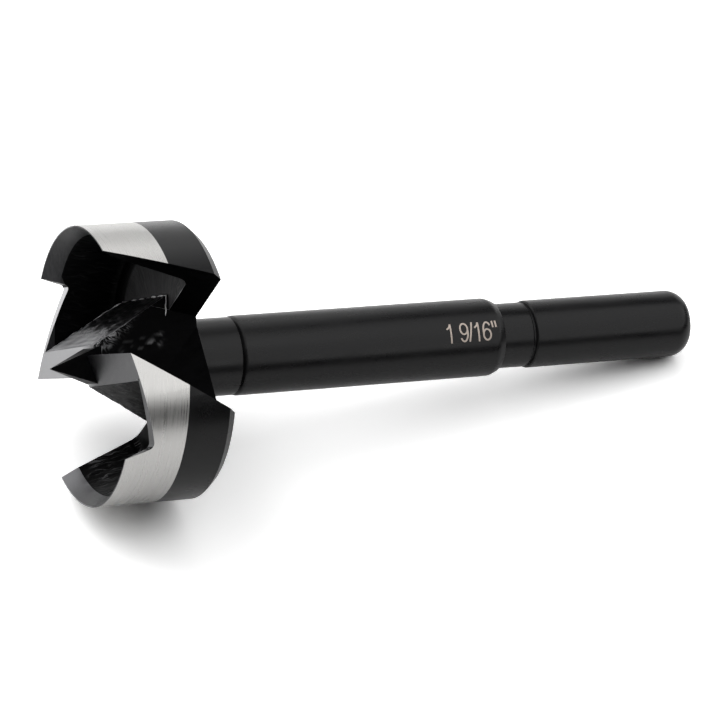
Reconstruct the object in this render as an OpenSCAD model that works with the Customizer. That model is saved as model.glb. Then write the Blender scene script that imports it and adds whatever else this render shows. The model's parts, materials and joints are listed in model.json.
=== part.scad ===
// Forstner bit, one turned and milled piece of tool steel, lying on a table as it comes to rest.
// The tool is made about its own axis, tip up, with the rim plane at z = 0, then laid down.

/* [Head] */
// Cutting diameter
cut_d = 39.69; // [30:0.01:50]
// Length of the head, rim plane to back face
head_l = 15.7; // [14:0.1:20]
// Back chamfer of the head, along the axis
back_cham_l = 1.2; // [0.4:0.1:2]
// Back chamfer of the head, inwards
back_cham_r = 1.05; // [0.3:0.05:2]
// Depth of the chip pockets behind the rim plane
pocket_l = 12; // [9:0.1:13]
// Radius in the outer corner of the pocket floor
pocket_fillet = 1.5; // [0.4:0.1:2]

/* [Rim] */
// Flat land left on the rim edge
rim_land = 0.2; // [0.1:0.05:0.5]
// Inner rim bevel, inwards
bevel_r = 1.2; // [0.6:0.1:2]
// Inner rim bevel, along the axis
bevel_l = 2.5; // [1:0.1:3]
// Thickness of the rim wall at the pocket floor
wall_foot = 3.4; // [2.4:0.1:4.5]
// Angle of the rim tooth's corner, behind the cutting edge
tooth_angle = 40.5; // [36:0.5:46]
// Lean of the tooth's face, towards the notch
tooth_lean = 18; // [5:1:25]
// Radius in the foot of the notch
notch_fillet = 0.8; // [0.3:0.1:1.2]

/* [Lifters] */
// Distance of the cutting edge in front of the axis
edge_offset = 1.6; // [1:0.1:2.5]
// Depth of the cutting edge behind the rim plane
edge_drop = 0.1; // [0.05:0.05:0.6]
// Rake angle of the lifter face
rake = 30.7; // [20:0.1:35]
// Clearance angle of the land behind the cutting edge
clearance = 16.5; // [10:0.5:20]
// Width of the land at the rim
land_rim = 3.8; // [2.5:0.1:5]
// Width of the land at the axis
land_hub = 4.5; // [3:0.1:6]
// Lean of the lifter's back
back_lean = 31; // [25:1:40]

/* [Gullets] */
// Direction that the rear wall of the gullet faces, about the axis
wall_turn = 115; // [105:1:125]
// Lean of the rear wall towards the back
wall_lean = 20.8; // [10:0.1:30]
// Distance of the rear wall from the rim centre
wall_off = 8.62; // [7.5:0.02:10]
// Distance of the gullet's inner wall from the axis, at the rim plane
hub_gap = 1.3; // [0.8:0.1:2]
// Lean of the gullet's inner wall away from the axis
hub_lean = 13.5; // [8:0.5:20]
// Direction that the ramp at the core faces, about the axis
ramp_turn = 28; // [15:1:40]
// Slope of the ramp away from the axis
ramp_slope = 38.8; // [30:0.2:50]

/* [Core and point] */
// Radius of the core at the back of the head
core_back_r = 6.6; // [6.4:0.1:8]
// Width of the centre point at its foot
point_w = 3.9; // [3:0.1:5]
// Height of the centre point over the rim plane
point_h = 4.8; // [4:0.1:6]

/* [Shank] */
// Diameter of the chuck end
shank_d = 10; // [8:0.05:12]
// Length of the chuck end
shank_l = 26.3; // [20:0.1:40]
// End chamfer, along the axis
end_cham_l = 1.9; // [0.5:0.1:3]
// End chamfer, inwards
end_cham_r = 0.9; // [0.3:0.1:1.5]
// Diameter of the collar
collar_d = 11.5; // [11:0.05:12.4]
// Length of the collar
collar_l = 41.8; // [30:0.1:60]
// Collar chamfer towards the head
collar_cham = 0.5; // [0.2:0.1:1]
// Collar chamfer towards the shank, along the axis
collar_back_l = 1.2; // [0.5:0.1:3]
// Length of the neck behind the head
neck_l = 6.5; // [4:0.1:12]
// Depth of the neck under the collar
neck_step = 0.15; // [0.05:0.05:0.5]
// Length of the recess in front of the chuck end
recess_l = 5.3; // [3:0.1:8]
// Depth of the recess under the chuck end
recess_step = 0.22; // [0.1:0.02:0.5]

/* [Rest] */
// Height of the near cutting edge, as an angle over the table
roll = 43.6; // [38:0.2:48]

/* [Hidden] */
$fn = 180;
steel = [0.17, 0.17, 0.18];
cut_r = cut_d / 2;
shank_r = shank_d / 2;
collar_r = collar_d / 2;
neck_r = collar_r - neck_step;
recess_r = shank_r - recess_step;
// The neck runs out into the back of the head inside the gullets' ramps
neck_root_r = (neck_r + core_back_r) / 2;
// Stations along the axis, as distances behind the rim plane
s_cham = head_l - back_cham_l;
s_collar = head_l + neck_l;
s_recess = s_collar + collar_l;
s_shank = s_recess + recess_l;
s_end = s_shank + shank_l;
s_grip = s_end - end_cham_l;
// Cutters run past the surfaces they cut by this much
over = 1;
// Side of the blocks that stand for half spaces
block = 4 * cut_r;
// The lifter is made this much proud of its rake face, which the gullet then cuts
proud = 0.05;
// The lifters run this far past the axis, to the other gullet's inner wall
hub_reach = hub_gap + head_l * tan(hub_lean);
// Inner face of the rim wall
wall_r = cut_r - rim_land - bevel_r;
foot_r = cut_r - wall_foot;
// The tool lies on the head's back edge and on the end of the shank
tilt = atan((cut_r - shank_r) / (s_grip - s_cham));
rest_z = s_cham * sin(tilt) + cut_r * cos(tilt);
x_front = -max(point_h * cos(tilt), cut_r * sin(tilt));
x_back = s_end * cos(tilt) + (shank_r - end_cham_r) * sin(tilt);

function flank_s(v) = edge_drop + (edge_offset - v) * tan(clearance);
function dir(a) = [cos(a), sin(a)];

forstner_bit();

// All that lies beyond the plane through a point, on the side its normal shows
module beyond(normal, point) {
    n = normal / norm(normal);
    translate(point)
        rotate([0, acos(n[2]), atan2(n[1], n[0])])
            translate([-block / 2, -block / 2, 0])
                cube(block);
}

// The same shape on both sides of the axis
module twice() {
    for (turn = [0, 180])
        rotate([0, 0, turn])
            children();
}

// Prism along x from a section in y and z
module along_x(points, x0, x1) {
    translate([x0, 0, 0])
        rotate([90, 0, 90])
            linear_extrude(height = x1 - x0)
                polygon(points);
}

// Plain turned head with its back chamfer
module blank() {
    rotate_extrude()
        polygon([
            [0, 0],
            [cut_r, 0],
            [cut_r, -s_cham],
            [cut_r - back_cham_r, -head_l],
            [0, -head_l]
        ]);
}

// Space turned out of the head inside the rim wall
module pocket() {
    flare = bevel_r / bevel_l;
    lean = atan((wall_r - foot_r) / (pocket_l - bevel_l));
    reach = pocket_fillet / tan(45 + lean / 2);
    centre = [foot_r - reach, -pocket_l + pocket_fillet];
    rotate_extrude()
        polygon(concat(
            [
                [0, over],
                [cut_r - rim_land + over * flare, over],
                [wall_r, -bevel_l]
            ],
            [for (k = [0:5]) centre + pocket_fillet * dir(-lean - (90 - lean) * k / 5)],
            [[0, -pocket_l]]
        ));
}

// One lifter before its land, rake face and inner end are cut
module lifter() {
    rim_back = [cut_r, edge_offset - land_rim, -flank_s(edge_offset - land_rim)];
    hub_back = [0, edge_offset - land_hub, -flank_s(edge_offset - land_hub)];
    down = [0, -sin(back_lean), -cos(back_lean)];
    low = head_l - over;
    face = edge_offset + proud - (low - edge_drop) * tan(rake);
    difference() {
        union() {
            along_x([
                [edge_offset + proud, 0],
                [edge_offset + proud, -edge_drop],
                [face, -low],
                [-cut_r, -low],
                [-cut_r, 0]
            ], -hub_reach, cut_r);
            along_x([
                [0, -edge_drop - edge_offset / tan(rake) + over],
                [face - over, -low],
                [over - face, -low]
            ], -hub_reach, hub_reach + 3 * over);
        }
        beyond(cross(down, rim_back - hub_back), hub_back);
        beyond([-cos(hub_lean), 0, sin(hub_lean)], [-hub_gap - proud, 0, 0]);
    }
}

// Land of one lifter, run out over the rim wall to the tooth, and past the axis behind the other edge
module flank() {
    tooth_v = -cut_r * sin(tooth_angle);
    lean = tan(tooth_lean);
    low = flank_s(tooth_v) / (1 + lean * tan(clearance));
    foot = [tooth_v + low * lean, -low];
    open = 90 + tooth_lean - clearance;
    centre = foot + dir(clearance + open / 2) * notch_fillet / sin(open / 2);
    along_x(concat(
        [
            [edge_offset + over, over],
            [tooth_v - over * lean, over]
        ],
        [for (k = [0:6]) centre + notch_fillet * dir(180 + tooth_lean + (180 - open) * k / 6)],
        [[edge_offset + over, -flank_s(edge_offset + over)]]
    ), 0, cut_r + over);
    along_x([
        [-edge_offset, over],
        [-edge_offset, -flank_s(-edge_offset)],
        [edge_offset - land_hub - over, -flank_s(edge_offset - land_hub - over)],
        [edge_offset - land_hub - over, over]
    ], -hub_reach - over, over);
}

// One gullet, open at the side, from the lifter's rake face to the rear wall
module gullet() {
    rear = [cos(wall_turn) * cos(wall_lean), sin(wall_turn) * cos(wall_lean), -sin(wall_lean)];
    ramp = [cos(ramp_turn) * cos(ramp_slope), sin(ramp_turn) * cos(ramp_slope), sin(ramp_slope)];
    intersection() {
        beyond([0, cos(rake), -sin(rake)], [0, edge_offset, -edge_drop]);
        beyond(-rear, rear * wall_off);
        beyond(ramp, [core_back_r * cos(ramp_turn), core_back_r * sin(ramp_turn), -head_l]);
        beyond([cos(hub_lean), 0, sin(hub_lean)], [hub_gap, 0, 0]);
        translate([0, 0, -head_l - over])
            cylinder(r = cut_r + over, h = head_l + 2 * over);
    }
}

// Turned core, neck, collar and shank
module arbor() {
    rotate_extrude()
        polygon([
            [0, -head_l + over],
            [neck_r - over, -head_l + over],
            [neck_root_r, -head_l],
            [neck_r, -head_l - (neck_root_r - neck_r)],
            [neck_r, -s_collar],
            [collar_r - collar_cham, -s_collar],
            [collar_r, -s_collar - collar_cham],
            [collar_r, -s_recess + collar_back_l],
            [collar_r - collar_cham, -s_recess],
            [recess_r, -s_recess],
            [recess_r, -s_shank],
            [shank_r, -s_shank],
            [shank_r, -s_grip],
            [shank_r - end_cham_r, -s_end],
            [0, -s_end]
        ]);
}

// Four sided centre point
module point() {
    foot = flank_s(-point_w / 2) + over;
    half = point_w / 2 * (point_h + foot) / point_h;
    section = [[-half, -foot], [half, -foot], [0, point_h]];
    intersection() {
        along_x(section, -half - over, half + over);
        rotate([0, 0, 90])
            along_x(section, -half - over, half + over);
    }
}

// Milled head with its rim, lifters and gullets
module head() {
    difference() {
        union() {
            difference() {
                blank();
                pocket();
            }
            intersection() {
                blank();
                twice()
                    lifter();
            }
        }
        twice()
            flank();
        twice()
            gullet();
    }
}

module forstner_bit() {
    color(steel)
        translate([-(x_front + x_back) / 2, 0, rest_z])
            rotate([0, tilt - 90, 0])
                rotate([0, 0, roll - 90])
                    union() {
                        head();
                        arbor();
                        point();
                    }
}
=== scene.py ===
import json
import math

import bmesh
import bpy
import numpy as np
from mathutils import Matrix, Vector


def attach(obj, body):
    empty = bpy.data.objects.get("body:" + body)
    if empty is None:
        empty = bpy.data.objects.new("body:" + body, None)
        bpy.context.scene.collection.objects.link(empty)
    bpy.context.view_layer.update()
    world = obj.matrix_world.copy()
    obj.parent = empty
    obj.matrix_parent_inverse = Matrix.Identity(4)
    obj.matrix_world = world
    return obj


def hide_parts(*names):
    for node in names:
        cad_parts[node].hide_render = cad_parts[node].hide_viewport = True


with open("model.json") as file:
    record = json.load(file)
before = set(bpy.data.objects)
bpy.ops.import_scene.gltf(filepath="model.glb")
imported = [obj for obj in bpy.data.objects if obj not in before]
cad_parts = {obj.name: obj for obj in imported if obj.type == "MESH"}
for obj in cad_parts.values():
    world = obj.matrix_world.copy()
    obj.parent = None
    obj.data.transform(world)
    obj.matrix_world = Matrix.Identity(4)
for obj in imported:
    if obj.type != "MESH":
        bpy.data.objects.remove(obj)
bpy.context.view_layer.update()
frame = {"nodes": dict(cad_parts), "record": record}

bl_info = {
    "name": "Forstner bit",
    "version": (1, 0, 0),
    "blender": (4, 5, 0),
    "location": "View3D > Sidebar > Forstner",
    "description": "Dresses the forstner bit: milled head, turned shank, size mark and plain stage",
    "category": "Object",
}

MM = 0.001
NODE = "forstner_bit"
BODY = "root"

# The tool's own directions in the row frame: along the near cutting edge, across it, and along the
# axis from the rim to the shank. The mount is at the middle of the chuck end, GRIP_S behind the rim
# plane, and ROLL is how high the near cutting edge lies, as in the part's source.
GRIP = frame["record"]["mounts"][0]
GRIP_S = 81.5 * MM
ROLL = math.radians(43.6)
AXIS = np.array(GRIP["axis"], float)
AXIS /= np.linalg.norm(AXIS)
RIM = np.array(GRIP["pos_m"], float) - AXIS * GRIP_S
RISE = np.array([-AXIS[2], 0.0, AXIS[0]])
SIDE = np.array([0.0, 1.0, 0.0])
ALONG_EDGE = math.sin(ROLL) * RISE - math.cos(ROLL) * SIDE
ACROSS_EDGE = math.cos(ROLL) * RISE + math.sin(ROLL) * SIDE
TOOL = np.stack([ALONG_EDGE, ACROSS_EDGE, AXIS], axis=1)

# Where the tool's steps lie, in millimetres: radii, and distances behind the rim plane.
CUT_R = 19.845
POCKET_R = 18.0
RIM_IN_R = 19.645
WALL_R = 18.445
BEVEL_L = 2.5
POCKET_L = 12.0
HEAD_L = 15.7
NECK_CUT = 16.0
S_COLLAR = 22.2
S_RECESS = 64.0
S_SHANK = 69.3
S_END = 95.6

# The head's finishes, in the order of its material slots, and the number of the pocket's turned
# side among the regions that take cutter marks.
BLACK, BAND, MILLED, LAND, BEVEL = range(5)
TURNED_SIDE = 1000

# Planes of the first lifter's back and of the near gullet's inner wall: a normal and a point, in
# millimetres. Those of the other side lie half a turn round the axis.
BACK_NORMAL, BACK_POINT = np.array([0.0248, -0.8569, -0.5149]), np.array([0.0, -2.9, 1.433])
WALL_NORMAL, WALL_POINT = np.array([0.9724, 0.0, -0.2334]), np.array([1.3, 0.0, 0.0])
HALF_TURN = np.array([-1.0, -1.0, 1.0])

# The camera in the tool's directions: its place in millimetres, where it looks, and its upright.
CAMERA_PLACE = np.array([464.057, 5.473, -164.405])
CAMERA_LOOK = np.array([-0.913096, -0.014713, 0.407480])
CAMERA_UP = np.array([0.014708, 0.997510, 0.068975])

# Lamps: direction from the front and over the floor in degrees, distance, width and height in
# metres, brightness, whether each shows in the metal and whether it lights matt surfaces.
LAMPS = (
    ("softbox_key", 62, 38, 0.65, 1.20, 0.75, 1.45, True, False),
    ("softbox_top", 0, 90, 0.70, 0.75, 0.75, 1.00, True, False),
    ("softbox_back", 178, 40, 0.70, 0.75, 0.45, 1.35, True, True),
    ("fill_left", -113, 48, 0.70, 0.75, 0.75, 1.30, False, True),
    ("fill_back_left", -150, 45, 0.70, 0.75, 0.75, 1.92, False, True),
    ("fill_right", 75, 60, 0.70, 0.75, 0.75, 2.13, False, True),
    ("fill_front", -23, 65, 0.70, 0.75, 0.75, 0.28, False, True),
)


def to_row(tool):
    """Points given along the cutting edge, across it and along the axis, in metres, put into the
    row frame."""
    return RIM + np.asarray(tool, float) @ TOOL.T


def to_tool(row):
    """Points of the row frame as distances along the cutting edge, across it and behind the rim."""
    return (np.asarray(row, float) - RIM) @ TOOL


def linear(code):
    """A colour written as an sRGB hex value, as linear red, green and blue."""
    c = np.array([int(code[i:i + 2], 16) for i in (1, 3, 5)]) / 255
    c = np.where(c <= 0.04045, c / 12.92, ((c + 0.055) / 1.055) ** 2.4)
    return tuple(c.tolist())


def opaque(colour):
    """A colour property with full alpha."""
    return (*colour, 1.0)


def node(tree, kind, settings=None, **inputs):
    """Adds a shader node, sets its properties, and sets or links its inputs. A node given as an
    input stands for its first output. A key such as i0 names an input by its number: of Mix, i6
    and i7 are the two colours, and of Map Range, i1 to i4 are the ends of the two ranges."""
    made = tree.nodes.new("ShaderNode" + kind)
    for key, value in (settings or {}).items():
        setattr(made, key, value)
    for key, value in inputs.items():
        number = key[0] == "i" and key[1:].isdigit()
        socket = made.inputs[int(key[1:]) if number else key.replace("_", " ")]
        if isinstance(value, bpy.types.Node):
            value = value.outputs[0]
        if isinstance(value, bpy.types.NodeSocket):
            tree.links.new(value, socket)
        else:
            socket.default_value = value
    return made


def new_material(name):
    """An empty node material, its tree and its output."""
    material = bpy.data.materials.new(name)
    material.use_nodes = True
    tree = material.node_tree
    tree.nodes.clear()
    return material, tree, tree.nodes.new("ShaderNodeOutputMaterial")


def steel_surface(tree, out, tone, gloss, relief, **more):
    """Ends a steel's nodes: two tones mixed by a factor, roughness between two values after a
    noise, and bumps after a noise, so strong and so many millimetres deep."""
    factor, dark, light = tone
    noise, smooth, rough = gloss
    height, strength, depth = relief
    mixed = node(tree, "Mix", {"data_type": "RGBA"}, Factor=factor, i6=dark, i7=light)
    roughness = node(tree, "MapRange", i0=noise, i1=0.3, i2=0.7, i3=smooth, i4=rough)
    bump = node(tree, "Bump", Height=height, Strength=strength, Distance=depth * MM)
    steel = node(tree, "BsdfPrincipled", Base_Color=mixed.outputs[2], Roughness=roughness,
                 Normal=bump, **more)
    tree.links.new(steel.outputs[0], out.inputs[0])


def black_oxide_turned(colours):
    """Turned tool steel blackened in hot salts: a satin black with faint turning lines round the
    axis."""
    material, tree, out = new_material("black_oxide_turned")
    lay = node(tree, "Attribute", {"attribute_name": "lay"}).outputs["Vector"]
    # Turning feed about 0.12 mm a turn, drawn at 0.3 mm so that it shows.
    lines = node(tree, "Mapping", Vector=lay, Scale=(0.02, 1 / 0.3, 0.3))
    feed = node(tree, "TexNoise", Vector=lines, Scale=1.0, Detail=3.0, Roughness=0.6)
    # Clouding of the oxide, about 6 mm across.
    cloud = node(tree, "Mapping", Vector=lay, Scale=(1 / 6, 1 / 6, 1 / 6))
    haze = node(tree, "TexNoise", Vector=cloud, Scale=1.0, Detail=4.0, Roughness=0.55)
    steel_surface(tree, out, (haze, opaque(colours.oxide_dark), opaque(colours.oxide_light)),
                  (haze, 0.25, 0.33), (feed, 0.12, 0.02), Metallic=0.0, Specular_IOR_Level=0.2)
    return material


def ground_steel(colours):
    """Tool steel ground round the rim after blackening: bright, with fine grinding lines along the
    turn."""
    material, tree, out = new_material("ground_steel_band")
    lay = node(tree, "Attribute", {"attribute_name": "lay"}).outputs["Vector"]
    # Grinding grit about 0.05 mm, drawn at 0.16 mm so that it shows, in scratches some 20 mm long.
    lines = node(tree, "Mapping", Vector=lay, Scale=(0.05, 1 / 0.16, 0.1))
    grit = node(tree, "TexNoise", Vector=lines, Scale=1.0, Detail=4.0, Roughness=0.65)
    steel_surface(tree, out, (grit, opaque(colours.ground_dark), opaque(colours.ground_light)),
                  (grit, 0.24, 0.34), (grit, 0.25, 0.02), Metallic=1.0)
    return material


def milled_black(colours):
    """Milled steel blackened as cut: near black, with torn cutter marks, and bare steel where the
    cutter tore it. The attribute of wear and painted reflection says how much steel is bare all
    over, in flakes and in streaks; flakes and streaks follow the grain attribute."""
    material, tree, out = new_material("black_oxide_milled")
    place = node(tree, "TexCoord")
    # Cutter marks about 1 mm wide and 6 mm long, along the tool, which lies 10.6 degrees down.
    marks = node(tree, "Mapping", Vector=place.outputs["Object"],
                 Rotation=(0.0, math.radians(-10.6), 0.0), Scale=(160.0, 900.0, 900.0))
    tear = node(tree, "TexNoise", Vector=marks, Scale=1.0, Detail=5.0, Roughness=0.6)
    oxide = node(tree, "Mix", {"data_type": "RGBA"}, Factor=tear, i6=opaque(colours.milled_dark),
                 i7=opaque(colours.milled_light))
    wear_and_painted_reflection = node(tree, "Attribute", {"attribute_name": "wear_and_painted_reflection"})
    wear_and_painted_reflection = node(tree, "SeparateXYZ", Vector=wear_and_painted_reflection.outputs["Vector"])
    grain = node(tree, "Attribute", {"attribute_name": "grain"}).outputs["Vector"]
    # Flakes of bare steel about 0.25 mm wide and 0.9 mm long.
    short = node(tree, "Mapping", Vector=grain, Scale=(1 / 0.9, 1 / 0.25, 1.0))
    speck = node(tree, "TexNoise", Vector=short, Scale=1.0, Detail=2.0, Distortion=0.5)
    speck = node(tree, "MapRange", i0=speck, i1=0.46, i2=0.60, i3=0.0, i4=1.0)
    # Streaks of bare steel about 0.35 mm wide and 3 mm long.
    long = node(tree, "Mapping", Vector=grain, Scale=(1 / 3, 1 / 0.35, 1.0))
    drag = node(tree, "TexNoise", Vector=long, Scale=1.0, Detail=3.0, Distortion=0.6)
    drag = node(tree, "MapRange", i0=drag, i1=0.52, i2=0.70, i3=0.0, i4=1.0)
    flakes = node(tree, "Math", {"operation": "MULTIPLY"}, i0=wear_and_painted_reflection.outputs["Y"], i1=speck)
    streaks = node(tree, "Math", {"operation": "MULTIPLY"}, i0=wear_and_painted_reflection.outputs["Z"], i1=drag)
    bare = node(tree, "Math", {"operation": "ADD"}, i0=wear_and_painted_reflection.outputs["X"], i1=flakes)
    bare = node(tree, "Math", {"operation": "ADD", "use_clamp": True}, i0=bare, i1=streaks)
    shine = node(tree, "Math", {"operation": "MULTIPLY"}, i0=bare, i1=0.6)
    steel_surface(tree, out, (bare, oxide.outputs[2], opaque(colours.torn_steel)),
                  (tear, 0.30, 0.45), (tear, 0.4, 0.06), Metallic=shine, Specular_IOR_Level=0.02)
    return material


def torn_steel(colours):
    """Bare steel torn by the cutter: grey and uneven, bright where it was dragged smooth."""
    material, tree, out = new_material("torn_steel")
    place = node(tree, "TexCoord")
    # Torn grain about 0.2 mm.
    grain = node(tree, "TexNoise", Vector=place.outputs["Object"], Scale=5000.0, Detail=3.0)
    steel_surface(tree, out, (grain, opaque(colours.land_light), opaque(colours.ground_light)),
                  (grain, 0.25, 0.5), (grain, 0.4, 0.05), Metallic=1.0)
    return material


def ground_flat(name, dark, light):
    """Steel ground flat: a satin metal with fine straight lines, darker or lighter after the first
    value of the attribute of wear and painted reflection, which paints reflected light and shade
    on the lands and bevels and gives worn edges a middle tone."""
    material, tree, out = new_material(name)
    place = node(tree, "TexCoord")
    # Grinding lines about 0.1 mm apart, drawn at 0.2 mm so that they show.
    lines = node(tree, "Mapping", Vector=place.outputs["Object"], Scale=(5000.0, 700.0, 700.0))
    grit = node(tree, "TexNoise", Vector=lines, Scale=1.0, Detail=3.0, Roughness=0.6)
    wear_and_painted_reflection = node(tree, "Attribute", {"attribute_name": "wear_and_painted_reflection"})
    wear_and_painted_reflection = node(tree, "SeparateXYZ", Vector=wear_and_painted_reflection.outputs["Vector"])
    # Tone between dark and light: the painted reflected light and shade, moved a little by the
    # grinding lines.
    shade = node(tree, "MapRange", i0=grit, i1=0.2, i2=0.8, i3=-0.08, i4=0.08)
    shade = node(tree, "Math", {"operation": "ADD", "use_clamp": True}, i0=wear_and_painted_reflection.outputs["X"],
                 i1=shade)
    steel_surface(tree, out, (shade, opaque(dark), opaque(light)), (grit, 0.32, 0.42),
                  (grit, 0.1, 0.02), Metallic=1.0)
    return material


def ground_land(colours):
    """Lands behind the cutting edges, ground bright after blackening. The near land is painted darker
    and the far land lighter, as reflected shade and light.
    """
    return ground_flat("ground_steel_land", colours.land_painted_shade, colours.land_light)


def oxide_bevel(colours):
    """Rim bevels, ground before blackening: the grinding shows through a thin oxide. The upper bevel
    is painted dark as reflected shade, and the lower bevel's far end light as a painted reflection.
    """
    return ground_flat("black_oxide_bevel", colours.bevel_painted_shade, colours.bevel_painted_reflection)


def laser_mark(colours):
    """Size mark burnt through the oxide by laser: a dry tan with fine scan lines."""
    material, tree, out = new_material("laser_mark")
    place = node(tree, "TexCoord")
    # Scan lines of the laser about 0.05 mm apart, drawn at 0.15 mm so that they show.
    scan = node(tree, "Mapping", Vector=place.outputs["Object"], Scale=(6600.0, 900.0, 900.0))
    burn = node(tree, "TexNoise", Vector=scan, Scale=1.0, Detail=2.0)
    tone = node(tree, "Mix", {"data_type": "RGBA"}, Factor=burn, i6=opaque(colours.mark_dark),
                i7=opaque(colours.mark_light))
    mark = node(tree, "BsdfPrincipled", Base_Color=tone.outputs[2], Roughness=0.7, Metallic=0.0)
    tree.links.new(mark.outputs[0], out.inputs[0])
    return material


def painted_floor(colours):
    """Matt white board under the tool: it takes the shadow, shows white in metal, and is brighter
    to the camera, as an overexposed board is. Far from the tool, past the lamps, the camera sees it
    plain white."""
    in_metal, to_camera = (0.90, 0.90, 0.90, 1.0), (1.44, 1.44, 1.44, 1.0)
    plain_from, plain_all = 0.4, 0.6
    material, tree, out = new_material("white_board")
    place = node(tree, "TexCoord")
    # Paper tooth about 0.5 mm.
    tooth = node(tree, "TexNoise", Vector=place.outputs["Object"], Scale=2000.0, Detail=2.0)
    bump = node(tree, "Bump", Height=tooth, Strength=0.05, Distance=0.05 * MM)
    path = node(tree, "LightPath")
    mirrored = node(tree, "Math", {"operation": "MAXIMUM"}, i0=path.outputs["Is Glossy Ray"],
                    i1=path.outputs["Is Transmission Ray"])
    white = node(tree, "Mix", {"data_type": "RGBA"}, Factor=mirrored, i6=opaque(colours.floor),
                 i7=in_metal)
    bright = node(tree, "Mix", {"data_type": "RGBA"}, Factor=path.outputs["Is Camera Ray"],
                  i6=white.outputs[2], i7=to_camera)
    matt = node(tree, "BsdfDiffuse", Color=bright.outputs[2], Normal=bump)
    away = node(tree, "VectorMath", {"operation": "LENGTH"}, i0=place.outputs["Object"])
    far = node(tree, "MapRange", i0=away.outputs["Value"], i1=plain_from, i2=plain_all, i3=0.0,
               i4=1.0)
    far = node(tree, "Math", {"operation": "MULTIPLY"}, i0=far, i1=path.outputs["Is Camera Ray"])
    plain = node(tree, "Emission", Color=(1.0, 1.0, 1.0, 1.0), Strength=1.0)
    board = node(tree, "MixShader", Fac=far, i1=matt, i2=plain)
    tree.links.new(board.outputs[0], out.inputs[0])
    return material


def finish_piece(piece):
    """Hangs a finished piece on the tool's body."""
    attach(piece, BODY)


def read(items, key, kind=np.int32, width=1):
    """One property of all items of a mesh, as an array with so many columns."""
    values = np.empty(len(items) * width, kind)
    items.foreach_get(key, values)
    return values.reshape(-1, width) if width > 1 else values


def write_corners(mesh, name, vectors):
    """Notes a vector on each face corner of a mesh."""
    layer = mesh.attributes.new(name, "FLOAT_VECTOR", "CORNER")
    layer.data.foreach_set("vector", vectors.ravel())


def lay_attribute(mesh):
    """Writes where each face corner lies on the tool, in millimetres: round the rim, along the axis
    and out from it. The way round is counted within each face, so that the seam at half a turn
    doesn't smear."""
    tool = to_tool(read(mesh.vertices, "co", float, 3)) / MM
    tool = tool[read(mesh.loops, "vertex_index")]
    start, total = read(mesh.polygons, "loop_start"), read(mesh.polygons, "loop_total")
    turn = np.arctan2(tool[:, 1], tool[:, 0])
    first = np.repeat(turn[start], total)
    turn = first + (turn - first + np.pi) % (2 * np.pi) - np.pi
    radius = np.hypot(tool[:, 0], tool[:, 1])
    write_corners(mesh, "lay", np.stack([turn * CUT_R, tool[:, 2], radius], axis=1))


def grid_mesh(name, points, closed_round):
    """Mesh from a grid of points, rows along the first parameter and columns round the second. One
    that is closed round has a flat face at each end."""
    rows, cols = points.shape[:2]
    index = np.arange(rows * cols).reshape(rows, cols)
    right = np.roll(index, -1, axis=1) if closed_round else index[:, 1:]
    left = index if closed_round else index[:, :-1]
    quads = np.stack([left[:-1], right[:-1], right[1:], left[1:]], axis=-1).reshape(-1, 4)
    ends = [index[0][::-1].tolist(), index[-1].tolist()] if closed_round else []
    mesh = bpy.data.meshes.new(name)
    mesh.from_pydata(points.reshape(-1, 3).tolist(), [], quads.tolist() + ends)
    return mesh


def new_piece(name, mesh, materials):
    """An object at the origin with the given mesh and materials."""
    for material in materials:
        mesh.materials.append(material)
    piece = bpy.data.objects.new(name, mesh)
    bpy.context.scene.collection.objects.link(piece)
    return piece


def outward_smooth(mesh, sharp_over):
    """Turns a closed mesh's faces outwards and shades it smooth, with edges over that angle in
    degrees kept sharp."""
    bm = bmesh.new()
    bm.from_mesh(mesh)
    bmesh.ops.recalc_face_normals(bm, faces=bm.faces)
    for face in bm.faces:
        face.smooth = True
    for edge in bm.edges:
        edge.smooth = edge.calc_face_angle(0.0) < math.radians(sharp_over)
    bm.to_mesh(mesh)
    bm.free()


def face_on_tool(face):
    """A face's middle in millimetres and its outward direction, both along the edge, across it and
    along the axis, its distance from the axis, and how far it looks away from the axis."""
    centre = to_tool(face.calc_center_median()) / MM
    look = np.asarray(face.normal) @ TOOL
    radius = math.hypot(centre[0], centre[1])
    outward = (look[0] * centre[0] + look[1] * centre[1]) / max(radius, 1e-6)
    return centre, look, radius, outward


def finish_of(face, sizes):
    """Which finish a face of the head carries: the ground band and the blackened band outside, the
    ground lands and rim bevels in front, milled black inside and on the point, and turned black
    behind."""
    back_chamfer, core_r, land_depth, bevel_in_r, bevel_depth = 1.3, 4.0, 10.0, 18.2, 3.0
    centre, look, radius, outward = face_on_tool(face)
    if radius > CUT_R - 0.1 and outward > 0.95:
        return BAND if centre[2] < sizes.band_width / MM else BLACK
    if centre[2] > HEAD_L - back_chamfer and radius > core_r and (look[2] > 0.5 or outward > 0.5):
        return BLACK
    if centre[2] > HEAD_L - 0.1 and look[2] > 0.9:
        return BLACK
    if centre[2] < land_depth and look[2] < -0.9:
        return LAND
    if radius > bevel_in_r and centre[2] < bevel_depth and look[2] < -0.2:
        return BEVEL
    return MILLED


def cut_along(bm, faces, direction, places):
    """Cuts a set of faces by planes across a direction of the row frame, at the given distances
    along it."""
    for place in places:
        found = {g for f in faces for g in (*f.verts, *f.edges)}
        made = bmesh.ops.bisect_plane(
            bm, geom=[*found, *faces], dist=1e-8, plane_co=(direction * place).tolist(),
            plane_no=direction.tolist())
        faces = [g for g in made["geom"] if isinstance(g, bmesh.types.BMFace)]
    return faces


def spread(faces, direction, pitch):
    """Places along a direction at which faces are cut, one pitch apart, from their lowest point to
    their highest."""
    along = np.array([np.asarray(v.co) @ direction for f in faces for v in f.verts])
    return np.arange(along.min() + pitch / 2, along.max(), pitch)


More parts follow.
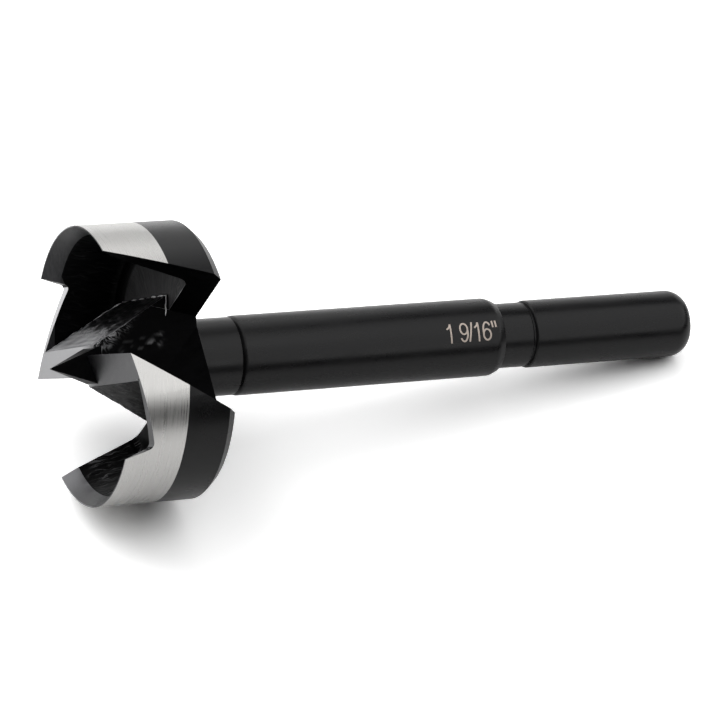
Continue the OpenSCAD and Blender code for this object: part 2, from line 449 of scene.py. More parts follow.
def net_region(bm, faces, number, pitch):
    """Cuts a region of milled faces into a fine net: round and along the axis on the turned side,
    and along two directions of its plane elsewhere."""
    if number == TURNED_SIDE:
        for turn in np.radians(np.arange(0.25, 180, 0.7)):
            across = TOOL @ np.array([-math.sin(turn), math.cos(turn), 0.0])
            faces = cut_along(bm, faces, across, [RIM @ across])
        cut_along(bm, faces, AXIS, spread(faces, AXIS, 2 * pitch))
        return
    normal = np.asarray(faces[0].normal)
    first = AXIS - normal * (AXIS @ normal)
    first /= np.linalg.norm(first)
    faces = cut_along(bm, faces, first, spread(faces, first, pitch))
    second = np.cross(normal, first)
    cut_along(bm, faces, second, spread(faces, second, pitch))


def head_mesh(sizes):
    """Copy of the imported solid's head, merged, its flat faces joined, cut at the neck and along the
    ground band. Each face's finish follows from where it lies on the tool and which way it looks.
    Milled faces are cut into a fine net, which then takes the cutter's marks."""
    bm = bmesh.new()
    bm.from_mesh(frame["nodes"][NODE].data)
    bmesh.ops.remove_doubles(bm, verts=bm.verts, dist=0.002 * MM)
    bmesh.ops.dissolve_limit(bm, angle_limit=math.radians(0.4), verts=bm.verts, edges=bm.edges)
    bmesh.ops.bisect_plane(
        bm, geom=bm.verts[:] + bm.edges[:] + bm.faces[:], dist=1e-7,
        plane_co=tuple(RIM + AXIS * NECK_CUT * MM), plane_no=tuple(AXIS), clear_outer=True)
    bmesh.ops.holes_fill(bm, edges=[e for e in bm.edges if e.is_boundary], sides=0)
    bm.normal_update()
    outside = [f for f in bm.faces if finish_of(f, sizes) in (BAND, BLACK)]
    cut_along(bm, outside, AXIS, [RIM @ AXIS + sizes.band_width])
    bm.normal_update()
    wear_edges(bm, sizes)
    bm.normal_update()
    for face in bm.faces:
        if face.material_index != LAND:
            face.material_index = finish_of(face, sizes)
        face.smooth = True
    region = bm.faces.layers.int.new("region")
    sort_regions(bm, region)
    for number in sorted({f[region] for f in bm.faces if f[region]}):
        faces = [f for f in bm.faces if f[region] == number]
        net_region(bm, faces, number, sizes.mark_pitch)
    bm.normal_update()
    for edge in bm.edges:
        closed = len(edge.link_faces) == 2
        edge.smooth = closed and edge.calc_face_angle() < math.radians(24)
    # The cuts leave points, edges and faces in an order that varies from run to run, so they are
    # sorted by their place along a slanting line.
    slant = Vector((0.61, 0.33, 0.72))
    bm.verts.sort(key=lambda v: v.co @ slant)
    bm.edges.sort(key=lambda e: (e.verts[0].co + e.verts[1].co) @ slant)
    bm.faces.sort(key=lambda f: f.calc_center_median() @ slant)
    mesh = bpy.data.meshes.new("milled_head")
    bm.to_mesh(mesh)
    bm.free()
    return mesh


def wear_edges(bm, sizes):
    """Breaks the outer edges between milled faces by a narrow bevel that shows bright steel."""
    worn_r, worn_from, worn_to, least_angle = 12.0, 2.0, 12.5, math.radians(30)
    worn = []
    for edge in bm.edges:
        if len(edge.link_faces) != 2 or not edge.is_convex or edge.calc_face_angle() < least_angle:
            continue
        if all(finish_of(f, sizes) == MILLED for f in edge.link_faces):
            ends = [np.asarray(v.co) for v in edge.verts]
            u, v, s = to_tool((ends[0] + ends[1]) / 2) / MM
            if math.hypot(u, v) < worn_r and worn_from < s < worn_to:
                worn.append(edge)
    bmesh.ops.bevel(bm, geom=worn, offset=sizes.edge_wear, offset_type="WIDTH", segments=1,
                    profile=0.5, affect="EDGES", clamp_overlap=True, material=LAND)


def sort_regions(bm, region):
    """Numbers the milled faces: the pocket's turned side by itself, and each milled plane."""
    least_area, side_r, side_depth, plane_apart = 0.3 * MM * MM, 13.0, 12.2, 0.05
    planes = []
    for face in bm.faces:
        if face.material_index != MILLED or face.calc_area() < least_area:
            continue
        centre, look, radius, outward = face_on_tool(face)
        turned = outward < -0.2 and max(-look[2], 0) - outward > 0.95
        if turned and radius > side_r and centre[2] < side_depth:
            face[region] = TURNED_SIDE
            continue
        offset = look @ centre
        for number, (normal, place) in enumerate(planes, 1):
            if normal @ look > 0.9995 and abs(place - offset) < plane_apart:
                face[region] = number
                break
        else:
            planes.append((look, offset))
            face[region] = len(planes)


def ripple(points, pitch, seed, count=7):
    """Soft roughness between about -1 and 1: a sum of sine waves in fixed random directions, near
    one pitch long."""
    draw = np.random.default_rng(seed)
    waves = draw.normal(size=(3, count))
    waves *= 2 * np.pi / pitch * draw.uniform(0.6, 1.6, count) / np.linalg.norm(waves, axis=0)
    return np.sin(points @ waves + draw.uniform(0, 2 * np.pi, count)).sum(1) / math.sqrt(count)


def smooth_step(low, high, value):
    """0 below low, 1 above high, and an even S between them."""
    x = np.clip((value - low) / (high - low), 0, 1)
    return x * x * (3 - 2 * x)


def between(value, rise, fall):
    """1 between two stretches: it rises from 0 over the first and falls back to 0 over the
    second."""
    return smooth_step(*rise, value) * (1 - smooth_step(*fall, value))


def bell(off, width):
    """1 on a line, falling off to both sides as a bell curve of that width."""
    return np.exp(-(off / width) ** 2)


def way_round(tool):
    """The way round the pocket's side, in millimetres."""
    return np.arctan2(tool[:, 1], tool[:, 0]) * POCKET_R


def both_sides(tool, look, normal, point):
    """The points as seen from the side of the tool whose plane they lie on, and which of them lie
    on it and face its way, for the first side and for either."""
    on_it, faces_it, behind_rim = 0.03, 0.8, 0.9
    lies = [(np.abs((tool * turn - point) @ normal) < on_it) & ((look * turn) @ normal > faces_it)
            & (tool[:, 2] > behind_rim) for turn in (1.0, HALF_TURN)]
    return np.where(lies[0][:, None], tool, tool * HALF_TURN), lies[0], lies[0] | lies[1]


def clump(tool):
    """How thick the torn flakes lie: in uneven clumps, thick beside the land and thin towards the
    pocket's floor."""
    thick = np.clip(1.0 + 0.6 * ripple(tool, 1.7, 26), 0.2, 1.6)
    return thick * (1 - 0.85 * smooth_step(3.2, 4.8, tool[:, 2]))


def plain_marks(tool):
    """Marks of a milled plane at each point: its height in millimetres, a faint ripple, how much
    steel is bare all over, in flakes and in streaks, the way along and across the grain, and how
    far the point is moved."""
    none = np.zeros(len(tool))
    return {
        "height": 0.008 * ripple(tool, 1.2, 9),
        "bare": none.copy(),
        "flakes": none.copy(),
        "streaks": none.copy(),
        "grain": np.stack([tool[:, 2], way_round(tool), none], axis=1),
        "shift": np.zeros_like(tool),
    }


def back_marks(marks, tool, look):
    """Lifter's back: scratches along it. The far one is dragged bright beside its land and breaks
    up into flakes, the near one has only streaks."""
    at, near, on_back = both_sides(tool, look, BACK_NORMAL, BACK_POINT)
    u, v, s = at.T
    scratch = ripple(at * (0.12, 1.0, 1.0), 0.8, 11)
    down = s - 0.15 * (u - 3.0) + 0.7 * ripple(at * (0.4, 1.0, 1.0), 1.6, 12)
    bright = on_back * ~near * smooth_step(-2.5, 1.5, u) * (1 - smooth_step(2.6, 5.6, down))
    marks["height"] += on_back * 0.03 * scratch
    marks["bare"] += bright * np.clip(0.53 + 0.15 * scratch, 0, 1)
    marks["flakes"] += 2.0 * bright * (1 - bright)
    marks["streaks"] += on_back * np.where(near, 0.12, 0.08)
    slope = BACK_NORMAL[2] * v - BACK_NORMAL[1] * s
    marks["grain"][on_back] = np.stack([u, slope, 0 * u], axis=1)[on_back]
    return on_back


def wall_marks(marks, tool, look):
    """Gullet's inner wall: fine torn flakes in a strip beside the lifter, and a band of long
    shallow scallops below them. The grain runs square to the lifter's edge."""
    at, _, on_wall = both_sides(tool, look, WALL_NORMAL, WALL_POINT)
    u, v, s = at.T
    beside = v - (2.0 + 0.67 * (s - 1.2))
    strip = on_wall * bell(beside, 0.75) * between(s, (0.6, 1.6), (5.5, 7.5))
    flake = ripple(at * (1.0, 1.0, 0.8), 0.8, 13)
    below = v - (2.4 + 0.13 * (s - 5.2)) - 0.25 * ripple(at, 3.0, 14)
    band = on_wall * bell(below, 0.55) * between(s, (4.6, 5.6), (10.5, 11.6))
    scallop = ripple(at * (1.0, 1.0, 0.45), 0.9, 15)
    marks["height"] += strip * 0.08 * flake + band * 0.10 * scallop
    marks["bare"] += 0.3 * band * smooth_step(0.2, 1.2, scallop)
    marks["flakes"] += strip * clump(at)
    along, across = 0.83 * v - 0.56 * s, 0.56 * v + 0.83 * s
    marks["grain"][on_wall] = np.stack([along, across, 0 * u], axis=1)[on_wall]
    return on_wall


def edge_bites(marks, tool, on_either):
    """Edge between a lifter's back and the other gullet's inner wall: points near the line that the
    two planes share are moved inwards unevenly, and flakes lie about it."""
    inwards = -(WALL_NORMAL + BACK_NORMAL * HALF_TURN)
    inwards /= np.linalg.norm(inwards)
    for side in (np.ones(3), HALF_TURN):
        at = tool * side
        u, v, s = at.T
        edge_u = WALL_POINT[0] + 0.24 * s
        edge_v = -BACK_POINT[1] + 0.029 * edge_u + 0.601 * (s - BACK_POINT[2])
        reach = bell(np.hypot(u - edge_u, v - edge_v), 0.6) * between(s, (1.5, 2.4), (6.0, 8.5))
        bite = reach * np.clip(0.45 + 0.55 * ripple(at, 1.1, 25), 0, 1.2)
        marks["shift"] += 0.32 * bite[:, None] * (inwards * side)
        marks["flakes"] += 0.8 * reach * clump(at) * on_either


def pocket_marks(marks, tool, look, on_side):
    """Pocket: torn ridges along the tool on its turned side, each the upper half of a sine of the
    way round, bent by a slow ripple. The lower pocket has streaks of steel, and the floor of the
    upper one a thin oxide."""
    ridge_pitch, ridge_height, grit_height = 0.7, 0.08, 0.02
    ridge = way_round(tool) / ridge_pitch + 0.9 * ripple(tool, 5.0, 3) + 0.35 * ripple(tool, 1.6, 4)
    side = ridge_height * np.abs(np.sin(np.pi * ridge)) * (0.6 + 0.4 * ripple(tool, 3.0, 5))
    side += grit_height * ripple(tool, 0.8, 6)
    marks["height"] = np.where(on_side, side, marks["height"])
    on_floor = (np.abs(tool[:, 2] - POCKET_L) < 0.1) & (look[:, 2] < -0.8)
    upper = tool[:, 1] > 0
    thin = (on_side | on_floor) * upper * smooth_step(10.0, 11.6, tool[:, 2])
    marks["bare"] += 0.075 * thin
    marks["flakes"] += 0.05 * thin
    share = np.where(tool[:, 1] < 0, 0.22, 0.03)
    marks["streaks"] += on_side * share * (0.6 + 0.4 * ripple(tool, 4.0, 19))


def painted_reflection_and_wear_tones(tool):
    """Tones of the lands and of the bevels, 0 dark and 1 light, mostly painted reflected light and
    shade. The far land is painted brighter than the near one, worn edges lie between as a wear
    tone, the upper bevel is painted in shade, and only the lower bevel's far end is painted bright
    as a reflection."""
    u, v, s = tool.T
    near_land, far_land = 0.04 * smooth_step(4, 18, u), 0.55 + 0.45 * smooth_step(2.0, 4.5, v)
    worn_edge = (s > 1.9) & (np.hypot(u, v) < 14)
    land = np.select([worn_edge, u > 0], [0.45, near_land], far_land)
    bevel = np.where(v > 0, 0.05, 0.2 + 0.8 * smooth_step(4, 11, -u))
    return land, bevel


def cutter_marks(mesh, sizes):
    """Moves the inner points of the milled faces along their normals by the height of their marks,
    bites the lifters' inner edges, and notes on the face corners where steel is bare and which way
    its grain runs. On the lands and bevels the first noted value is instead their painted reflected
    light and shade."""
    co, normal = read(mesh.vertices, "co", float, 3), read(mesh.vertices, "normal", float, 3)
    corner = read(mesh.loops, "vertex_index")
    total = read(mesh.polygons, "loop_total")
    finish = np.repeat(read(mesh.polygons, "material_index"), total)
    region = np.repeat(read(mesh.attributes["region"].data, "value"), total)
    # A point is inside a region where all faces round it belong to that one.
    low, high = np.full(len(co), 10 ** 6), np.full(len(co), -1)
    np.minimum.at(low, corner, region)
    np.maximum.at(high, corner, region)
    inner = (low == high) & (low > 0)
    tool, look = to_tool(co) / MM, normal @ TOOL
    marks = plain_marks(tool)
    on_back = back_marks(marks, tool, look)
    on_wall = wall_marks(marks, tool, look)
    edge_bites(marks, tool, on_back | on_wall)
    pocket_marks(marks, tool, look, low == TURNED_SIDE)
    grain = marks["grain"]
    grain[:, 1] += 0.3 * ripple(tool, 2.6, 17) + 0.12 * ripple(tool, 1.1, 18)
    wear_and_painted_reflection = np.stack([marks["bare"], marks["flakes"], marks["streaks"]], axis=1)
    wear_and_painted_reflection = np.clip(wear_and_painted_reflection, 0, 1)[corner]
    # Lands and bevels: painted reflected light and shade, and a wear tone on the worn edges.
    land, bevel = painted_reflection_and_wear_tones(tool)
    wear_and_painted_reflection[:, 0] = np.select([finish == LAND, finish == BEVEL], [land[corner], bevel[corner]],
                           wear_and_painted_reflection[:, 0])
    moved = normal * (marks["height"] * inner)[:, None] + marks["shift"] @ TOOL.T
    co += moved * sizes.mark_depth * MM
    mesh.vertices.foreach_set("co", co.ravel())
    mesh.attributes.remove(mesh.attributes["region"])
    write_corners(mesh, "wear_and_painted_reflection", wear_and_painted_reflection)
    write_corners(mesh, "grain", grain[corner])
    mesh.update()


def across_back(u, s):
    """How far across the edge the first lifter's back lies, from the way along it and the depth."""
    lift = BACK_NORMAL[0] * u + BACK_NORMAL[2] * (s - BACK_POINT[2])
    return BACK_POINT[1] - lift / BACK_NORMAL[1]


def burr_mesh(name, side, sizes):
    """Ridge of torn steel where the cutter ran out between the lifter's back and the pocket: a
    small round profile of uneven radius, carried along the line where the back's plane meets the
    pocket's side and then its floor, and a short way along the inner wall."""
    side_points, floor_points, end_points = 90, 110, 26
    floor_s, floor_end, wall_end = 11.75, -4.1, (-4.11, -6.3, 11.49)
    s = np.linspace(0.9, 11.0, side_points)
    bevel, wall = RIM_IN_R - 0.48 * s, WALL_R - 0.2105 * (s - BEVEL_L)
    radius = np.where(s < BEVEL_L, bevel, wall)
    u = radius
    for _ in range(4):
        u = np.sqrt(radius ** 2 - across_back(u, s) ** 2)
    u = np.concatenate([u, np.linspace(u[-1] - 0.7, floor_end, floor_points)])
    s = np.concatenate([s, np.full(floor_points, floor_s)])
    path = np.stack([u, across_back(u, s), s], axis=1)
    path = np.concatenate([path, np.linspace(path[-1], wall_end, end_points)[1:]])
    path += 0.06 * np.stack([ripple(path, 1.7, k) for k in (21, 22, 23)], axis=1)
    thick = sizes.burr / MM * np.clip(0.6 + 0.4 * ripple(path, 2.6, 24), 0.12, 1.2)
    thick[[0, -1]] = 0.02
    path *= HALF_TURN if side else 1.0
    along = np.gradient(path, axis=0)
    along /= np.linalg.norm(along, axis=1)[:, None]
    first = np.cross(along, (0.2, 0.3, 0.93))
    first /= np.linalg.norm(first, axis=1)[:, None]
    second = np.cross(along, first)
    turn = np.linspace(0, 2 * np.pi, 8, endpoint=False)[None, :, None]
    profile = np.cos(turn) * first[:, None] + np.sin(turn) * second[:, None]
    points = path[:, None] + thick[:, None, None] * profile
    mesh = grid_mesh(name, to_row(points * MM), True)
    outward_smooth(mesh, 180)
    return mesh


def round_corner(profile, steps=7):
    """Profile of (s, r, radius) rows in millimetres with each inner corner eased over about that
    radius: a quadratic curve from one side of the corner to the other, its middle pulled towards
    the corner."""
    points, radii = profile[:, :2], profile[:, 2]
    t = np.linspace(0, 1, steps)[:, None]
    out = [points[0]]
    for a, b, c, radius in zip(points[:-2], points[1:-1], points[2:], radii[1:-1]):
        back, ahead = np.linalg.norm(a - b), np.linalg.norm(c - b)
        near = min(radius, 0.48 * back, 0.48 * ahead)
        p, q = b + (a - b) / back * near, b + (c - b) / ahead * near
        out.extend((1 - t) ** 2 * p + 2 * t * (1 - t) * b + t ** 2 * q)
    out.append(points[-1])
    return np.array(out)


def shank_mesh(sizes):
    """Neck, collar and shank: a profile of radius over distance along the axis, carried once round
    it."""
    neck, collar = sizes.neck_radius / MM, sizes.collar_radius / MM
    recess, grip = sizes.recess_radius / MM, sizes.shank_radius / MM
    # Distance behind the rim plane, radius, and how far the corner is eased.
    rows = [
        (HEAD_L - 0.3, 0.6, 0), (HEAD_L - 0.3, neck + 0.1, 0.05), (NECK_CUT, neck + 0.2, 0.05),
        (NECK_CUT + 0.2, neck, 0.2), (S_COLLAR, neck, 0.08), (S_COLLAR, collar - 0.5, 0.08),
        (S_COLLAR + 0.5, collar, 0.3), (S_RECESS - 1.2, collar, 0.35),
        (S_RECESS, collar - 0.5, 0.2), (S_RECESS, recess, 0.1), (S_SHANK - 0.5, recess, 0.1),
        (S_SHANK - 0.35, recess - 0.2, 0.1), (S_SHANK, recess - 0.2, 0.05),
        (S_SHANK, grip - 0.15, 0.1), (S_SHANK + 0.2, grip, 0.1),
    ]
    # The chuck end runs out in an arc.
    arc_r, arc_l = 3.0, 2.18
    bend = np.radians(np.linspace(0, 46.6, 9))
    arc = np.stack([S_END - arc_l + arc_r * np.sin(bend), grip - arc_r * (1 - np.cos(bend)),
                    0 * bend + 0.1], axis=1)
    profile = round_corner(np.concatenate([rows, arc, [(S_END, 0.6, 0)]]))
    turn = np.linspace(0, 2 * np.pi, 192, endpoint=False)
    s, r = profile[:, :1], profile[:, 1:]
    points = np.stack([r * np.cos(turn), r * np.sin(turn), s + 0 * turn], axis=-1)
    mesh = grid_mesh("turned_shank", to_row(points * MM), True)
    outward_smooth(mesh, 35)
    return mesh


def ring(middle, width, height, start, end):
    """Points of an oval arc about a middle, between two angles in degrees."""
    turn = np.radians(np.linspace(start, end, 40))
    return np.stack([middle[0] + width * np.cos(turn), middle[1] + height * np.sin(turn)], axis=1)


def straight(*corners):
    """Points along straight lines from corner to corner."""
    return np.concatenate([np.linspace(a, b, 16, endpoint=k == len(corners) - 2)
                           for k, (a, b) in enumerate(zip(corners[:-1], corners[1:]))])


def number_strokes():
    """Centre lines of the size mark's strokes, one inch and nine sixteenths, as tall as 1."""
    one = [straight((-0.20, 0.70), (-0.07, 0.80), (0.0, 0.97), (0.0, 0.0))]
    nine = [ring((0.0, 0.68), 0.19, 0.27, 0, 360), ring((-0.01, 0.50), 0.20, 0.45, 18, -142)]
    six = [np.array([0.0, 1.0]) - stroke for stroke in nine]
    slash = [straight((-0.09, 0.02), (0.09, 1.0))]
    inch = [straight((0.0, 1.0), (0.02, 0.66)), straight((0.17, 1.0), (0.19, 0.66))]
    places = ((0.0, one), (0.68, nine), (1.04, slash), (1.44, one), (1.88, six), (2.19, inch))
    return [stroke + np.array([at, 0.0]) for at, shape in places for stroke in shape]


def mark_mesh(sizes):
    """Size mark: a flat band carried along each stroke's centre line, half its width to either
    side, then bent round the collar with x along the axis and y round it."""
    columns, proud = 4, 0.012 * MM
    radius = sizes.collar_radius + proud
    points, faces, base = [], [], 0
    for stroke in number_strokes():
        along = np.gradient(stroke, axis=0)
        along /= np.linalg.norm(along, axis=1)[:, None]
        across = np.stack([-along[:, 1], along[:, 0]], axis=1)
        reach = np.linspace(-0.5, 0.5, columns)[None, :, None] * sizes.mark_stroke
        points.append((stroke[:, None] + across[:, None] * reach).reshape(-1, 2))
        index = base + np.arange(len(stroke) * columns).reshape(-1, columns)
        quads = [index[:-1, :-1], index[1:, :-1], index[1:, 1:], index[:-1, 1:]]
        faces.append(np.stack(quads, axis=-1).reshape(-1, 4))
        base += len(stroke) * columns
    flat = np.concatenate(points)
    low, high = flat.min(0), flat.max(0)
    size = np.array([sizes.mark_length, sizes.mark_height])
    flat = (flat - (low + high) / 2) / (high - low) * size
    turn = sizes.mark_turn + flat[:, 1] / radius
    bent = np.stack([radius * np.cos(turn), radius * np.sin(turn), sizes.mark_place + flat[:, 0]],
                    axis=1)
    mesh = bpy.data.meshes.new("size_mark")
    mesh.from_pydata(to_row(bent).tolist(), [], np.concatenate(faces).tolist())
    return mesh


class ForstnerSizes(bpy.types.PropertyGroup):
    """Lengths that a user would change."""
    band_width: bpy.props.FloatProperty(
        name="Ground band", description="Width of the bright ground band behind the rim",
        default=8.41 * MM, unit="LENGTH", precision=5)
    neck_radius: bpy.props.FloatProperty(
        name="Neck radius", description="Radius of the neck behind the head",
        default=5.6 * MM, unit="LENGTH", precision=5)
    collar_radius: bpy.props.FloatProperty(
        name="Collar radius", description="Radius of the collar",
        default=5.75 * MM, unit="LENGTH", precision=5)
    recess_radius: bpy.props.FloatProperty(
        name="Recess radius", description="Radius of the recess before the chuck end",
        default=4.78 * MM, unit="LENGTH", precision=5)
    shank_radius: bpy.props.FloatProperty(
        name="Shank radius", description="Radius of the chuck end",
        default=5.0 * MM, unit="LENGTH", precision=5)
    mark_length: bpy.props.FloatProperty(
        name="Mark length", description="Length of the size mark",
        default=8.2 * MM, unit="LENGTH", precision=5)
    mark_height: bpy.props.FloatProperty(
        name="Mark height", description="Height of the size mark's figures",
        default=2.95 * MM, unit="LENGTH", precision=5)
    mark_stroke: bpy.props.FloatProperty(
        name="Mark stroke", description="Width of the size mark's strokes, over its height",
        default=0.082, subtype="FACTOR")
    mark_place: bpy.props.FloatProperty(
        name="Mark place", description="Middle of the size mark, behind the rim plane",
        default=58.3 * MM, unit="LENGTH", precision=5)
    mark_turn: bpy.props.FloatProperty(
        name="Mark turn", description="Direction of the size mark round the axis",
        default=math.radians(9.5), unit="ROTATION")
    mark_burn: bpy.props.FloatProperty(
        name="Mark depth", description="Depth of the size mark in the collar",
        default=0.05 * MM, unit="LENGTH", precision=5)
    mark_pitch: bpy.props.FloatProperty(
        name="Net of the milled faces", description="Width of the net that takes the cutter marks",
        default=0.35 * MM, unit="LENGTH", precision=5)
    mark_depth: bpy.props.FloatProperty(
        name="Cutter marks", description="Depth of the cutter marks, 1 as on the photographed tool",
        default=1.0, subtype="FACTOR")
    edge_wear: bpy.props.FloatProperty(
        name="Edge wear", description="Width of the bright worn edges",
        default=0.12 * MM, unit="LENGTH", precision=5)
    burr: bpy.props.FloatProperty(
        name="Burr", description="Radius of the torn ridge where the cutter ran out",
        default=0.16 * MM, unit="LENGTH", precision=5)


class ForstnerColours(bpy.types.PropertyGroup):
    """Colours that a user would change."""
    oxide_dark: bpy.props.FloatVectorProperty(
        name="Oxide, dark", description="Darker tone of the black oxide",
        default=linear("#070708"), subtype="COLOR")
    oxide_light: bpy.props.FloatVectorProperty(
        name="Oxide, light", description="Lighter tone of the black oxide",
        default=linear("#0d0d0e"), subtype="COLOR")
    milled_dark: bpy.props.FloatVectorProperty(
        name="Milled, dark", description="Darker tone of the milled black",
        default=linear("#020202"), subtype="COLOR")
    milled_light: bpy.props.FloatVectorProperty(
        name="Milled, light", description="Lighter tone of the milled black",
        default=linear("#0c0c0d"), subtype="COLOR")
    torn_steel: bpy.props.FloatVectorProperty(
        name="Torn steel", description="Bare steel where the cutter tore the milled faces",
        default=linear("#b0b0b2"), subtype="COLOR")
    ground_dark: bpy.props.FloatVectorProperty(
        name="Ground, dark", description="Darker tone of the ground band",
        default=linear("#abaaa8"), subtype="COLOR")
    ground_light: bpy.props.FloatVectorProperty(
        name="Ground, light", description="Lighter tone of the ground band",
        default=linear("#bfbebc"), subtype="COLOR")
    # Lands: painted reflected shade and light. The dark tone is the near land's painted shade; the
    # light one is the far land's painted reflected light, and is also the tone of torn steel.
    land_painted_shade: bpy.props.FloatVectorProperty(
        name="Land, dark", description="Darker tone of the ground lands",
        default=linear("#363638"), subtype="COLOR")
    land_light: bpy.props.FloatVectorProperty(
        name="Land, light", description="Lighter tone of the ground lands",
        default=linear("#bfbfc1"), subtype="COLOR")
    # Bevels: painted reflection. The dark tone is the upper bevel's painted shade, the light one the
    # lower bevel's painted reflection.
    bevel_painted_shade: bpy.props.FloatVectorProperty(
        name="Bevel, dark", description="Darker tone of the rim bevels",
        default=linear("#313132"), subtype="COLOR")
    bevel_painted_reflection: bpy.props.FloatVectorProperty(
        name="Bevel, light", description="Lighter tone of the rim bevels",
        default=linear("#7a7a7c"), subtype="COLOR")
    mark_dark: bpy.props.FloatVectorProperty(
        name="Mark, dark", description="Darker tone of the size mark",
        default=linear("#9c8e83"), subtype="COLOR")
    mark_light: bpy.props.FloatVectorProperty(
        name="Mark, light", description="Lighter tone of the size mark",
        default=linear("#c0b4aa"), subtype="COLOR")
    floor: bpy.props.FloatVectorProperty(
        name="Floor", description="Colour of the floor",
        default=linear("#e4e4e4"), subtype="COLOR")


class FORSTNER_OT_head(bpy.types.Operator):
    """Makes the milled head with its ground band, lands and chip pockets"""
    bl_idname = "forstner.head"
    bl_label = "Milled head"

    def execute(self, context):
        sizes, colours = context.scene.forstner_sizes, context.scene.forstner_colours
        mesh = head_mesh(sizes)
        cutter_marks(mesh, sizes)
        makers = (black_oxide_turned, ground_steel, milled_black, ground_land, oxide_bevel)
        head = new_piece("milled_head", mesh, [make(colours) for make in makers])
        lay_attribute(mesh)
        finish_piece(head)
        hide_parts(NODE)
        return {"FINISHED"}


class FORSTNER_OT_burrs(bpy.types.Operator):
    """Makes the torn ridges behind the two lifters"""
    bl_idname = "forstner.burrs"
    bl_label = "Cutter burrs"

    def execute(self, context):
        sizes, colours = context.scene.forstner_sizes, context.scene.forstner_colours
        steel = torn_steel(colours)
        for side, name in enumerate(("burr_near", "burr_far")):
            finish_piece(new_piece(name, burr_mesh(name, side, sizes), [steel]))
        return {"FINISHED"}


class FORSTNER_OT_shank(bpy.types.Operator):
    """Makes the turned neck, collar and shank"""
    bl_idname = "forstner.shank"
    bl_label = "Turned shank"

    def execute(self, context):
        mesh = shank_mesh(context.scene.forstner_sizes)
        shank = new_piece("turned_shank", mesh, [bpy.data.materials["black_oxide_turned"]])
        lay_attribute(mesh)
        finish_piece(shank)
        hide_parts(NODE)
        return {"FINISHED"}


class FORSTNER_OT_mark(bpy.types.Operator):
    """Makes the size mark on the collar"""
    bl_idname = "forstner.mark"
    bl_label = "Size mark"

    def execute(self, context):
        sizes, colours = context.scene.forstner_sizes, context.scene.forstner_colours
        mark = new_piece("size_mark", mark_mesh(sizes), [laser_mark(colours)])
        depth = mark.modifiers.new("burn_depth", "SOLIDIFY")
        depth.thickness, depth.offset = sizes.mark_burn, -1.0
        finish_piece(mark)
        return {"FINISHED"}


class FORSTNER_OT_stage(bpy.types.Operator):
    """Lays the white floor, and sets the lamps, the surroundings and the camera"""
    bl_idname = "forstner.stage"
    bl_label = "Stage"

    def execute(self, context):
        scene, colours = context.scene, context.scene.forstner_colours
        reach = np.array([-3.0, 3.0])
        points = np.stack([*np.meshgrid(reach, reach, indexing="ij"), np.zeros((2, 2))], axis=-1)
        mesh = grid_mesh("floor", points[:, ::-1], False)
        floor = new_piece("floor", mesh, [painted_floor(colours)])
        for row in LAMPS:
            lamp(*row)
        flag(colours)
        surroundings(scene)
        camera(scene)
        scene.view_settings.view_transform = "Standard"
        return {"FINISHED"}


def heading(azimuth, elevation):
    """Direction from the tool, in degrees from the front towards the right and over the floor."""
    a, e = math.radians(azimuth), math.radians(elevation)
    return np.array([math.sin(a) * math.cos(e), -math.cos(a) * math.cos(e), math.sin(e)])


def looking(place, forward, up):
    """Matrix of a camera or lamp at a place that looks along forward with up as near upright as it
    goes."""
    right = np.cross(forward, up if abs(forward @ up) < 0.999 else SIDE)
    right /= np.linalg.norm(right)
    upright = np.cross(right, forward)
    turn = np.stack([right, upright, -forward], axis=1)
    return Matrix.Translation(place.tolist()) @ Matrix(turn.tolist()).to_4x4()


def lamp(name, azimuth, elevation, distance, width, height, radiance, in_metal, on_matt):
    """A soft rectangular lamp that looks at the tool, out of the camera's sight. Its power is its
    brightness times its area times pi."""
    data = bpy.data.lights.new(name, "AREA")
    data.shape, data.size, data.size_y = "RECTANGLE", width, height
    data.energy = radiance * width * height * math.pi
    made = bpy.data.objects.new(name, data)
    bpy.context.scene.collection.objects.link(made)
    way = heading(azimuth, elevation)
    made.matrix_world = looking(way * distance, -way, np.array([0.0, 0.0, 1.0]))
    made.visible_camera = False
    made.visible_glossy, made.visible_diffuse = in_metal, on_matt


def flag(colours):
    """A dark card that stands before the tool, out of the picture, and shows only in the metal: a
    strip that rises with its distance, bent round the tool."""
    turn = np.radians(np.linspace(-70, 110, 25))[None, :]
    out = np.array([0.115, 0.20, 0.32])[:, None]
    up = np.array([0.001, 0.03, 0.075])[:, None]
    points = np.stack([out * np.sin(turn), -out * np.cos(turn), up + 0 * turn], axis=-1)
    material, tree, end = new_material("black_card")
    card = node(tree, "BsdfDiffuse", Color=opaque(colours.oxide_light))
    tree.links.new(card.outputs[0], end.inputs[0])
    made = new_piece("flag", grid_mesh("flag", points, False), [material])
    made.visible_camera = made.visible_diffuse = False
    made.visible_shadow = made.visible_transmission = False


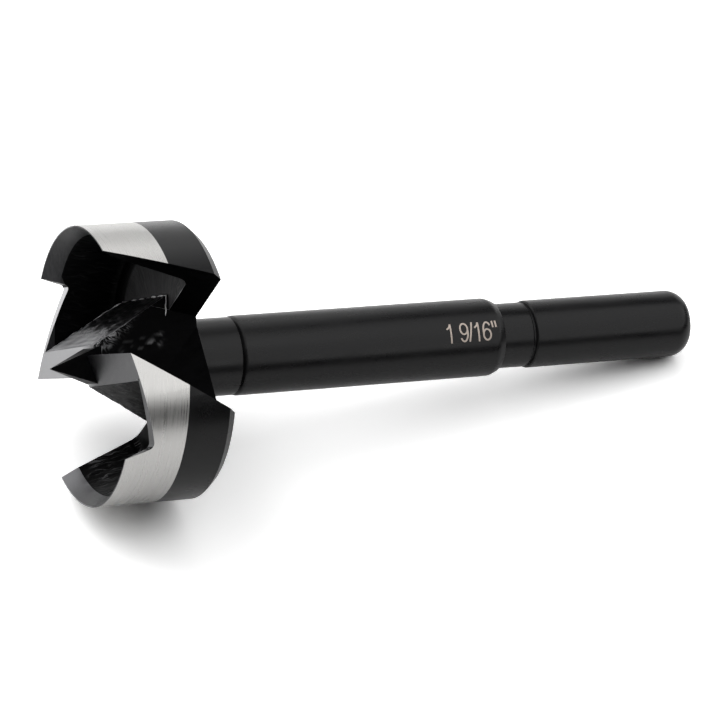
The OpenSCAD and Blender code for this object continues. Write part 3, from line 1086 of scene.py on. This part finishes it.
def surroundings(scene):
    """Pale studio walls round the tool, darker towards the roof. They hardly light matt
    surfaces."""
    world = bpy.data.worlds.new("studio")
    scene.world = world
    world.use_nodes = True
    tree = world.node_tree
    tree.nodes.clear()
    out = tree.nodes.new("ShaderNodeOutputWorld")
    way = node(tree, "TexCoord")
    up = node(tree, "SeparateXYZ", Vector=way.outputs["Generated"])
    wall = node(tree, "ValToRGB", Fac=up.outputs["Z"])
    ramp = wall.color_ramp
    ramp.elements.remove(ramp.elements[-1])
    ramp.elements[0].position, ramp.elements[0].color = 0.26, (1.0, 1.0, 1.0, 1.0)
    ramp.elements.new(0.36).color = (0.14, 0.14, 0.14, 1.0)
    path = node(tree, "LightPath")
    seen = node(tree, "Math", {"operation": "MAXIMUM"}, i0=path.outputs["Is Camera Ray"],
                i1=path.outputs["Is Glossy Ray"])
    seen = node(tree, "Math", {"operation": "MAXIMUM"}, i0=seen,
                i1=path.outputs["Is Transmission Ray"])
    light = node(tree, "Mix", {"data_type": "RGBA"}, Factor=seen, i6=(0.02, 0.02, 0.02, 1.0),
                 i7=wall.outputs["Color"])
    glow = node(tree, "Background", Color=light.outputs[2], Strength=1.0)
    tree.links.new(glow.outputs[0], out.inputs[0])


def camera(scene):
    """Camera at the photograph's place: 464 mm out along the near edge and 164 mm before the
    rim."""
    data = bpy.data.cameras.new("camera")
    data.lens, data.sensor_width, data.sensor_fit = 175.0, 36.0, "AUTO"
    data.clip_start, data.clip_end = 0.01, 20.0
    made = bpy.data.objects.new("camera", data)
    scene.collection.objects.link(made)
    forward = TOOL @ CAMERA_LOOK
    made.matrix_world = looking(to_row(CAMERA_PLACE * MM), forward / np.linalg.norm(forward),
                                TOOL @ CAMERA_UP)
    scene.camera = made


class FORSTNER_PT_panel(bpy.types.Panel):
    """Lists the forstner bit's pieces"""
    bl_label = "Forstner bit"
    bl_idname = "FORSTNER_PT_panel"
    bl_space_type = "VIEW_3D"
    bl_region_type = "UI"
    bl_category = "Forstner"

    def draw(self, context):
        for group in (context.scene.forstner_sizes, context.scene.forstner_colours):
            for key in group.__annotations__:
                self.layout.prop(group, key)
        for operator in OPERATORS:
            self.layout.operator(operator.bl_idname)


OPERATORS = (FORSTNER_OT_head, FORSTNER_OT_burrs, FORSTNER_OT_shank, FORSTNER_OT_mark,
             FORSTNER_OT_stage)
CLASSES = (ForstnerSizes, ForstnerColours, *OPERATORS, FORSTNER_PT_panel)


def register():
    """Registers the classes and hangs the properties on the scene."""
    for cls in CLASSES:
        bpy.utils.register_class(cls)
    bpy.types.Scene.forstner_sizes = bpy.props.PointerProperty(type=ForstnerSizes)
    bpy.types.Scene.forstner_colours = bpy.props.PointerProperty(type=ForstnerColours)


def unregister():
    """Takes back what register did."""
    del bpy.types.Scene.forstner_colours
    del bpy.types.Scene.forstner_sizes
    for cls in reversed(CLASSES):
        bpy.utils.unregister_class(cls)


def main():
    """Makes the pieces and the stage."""
    register()
    bpy.ops.forstner.head()
    bpy.ops.forstner.burrs()
    bpy.ops.forstner.shank()
    bpy.ops.forstner.mark()
    bpy.ops.forstner.stage()
    bpy.context.view_layer.update()


if __name__ == "__main__":
    main()
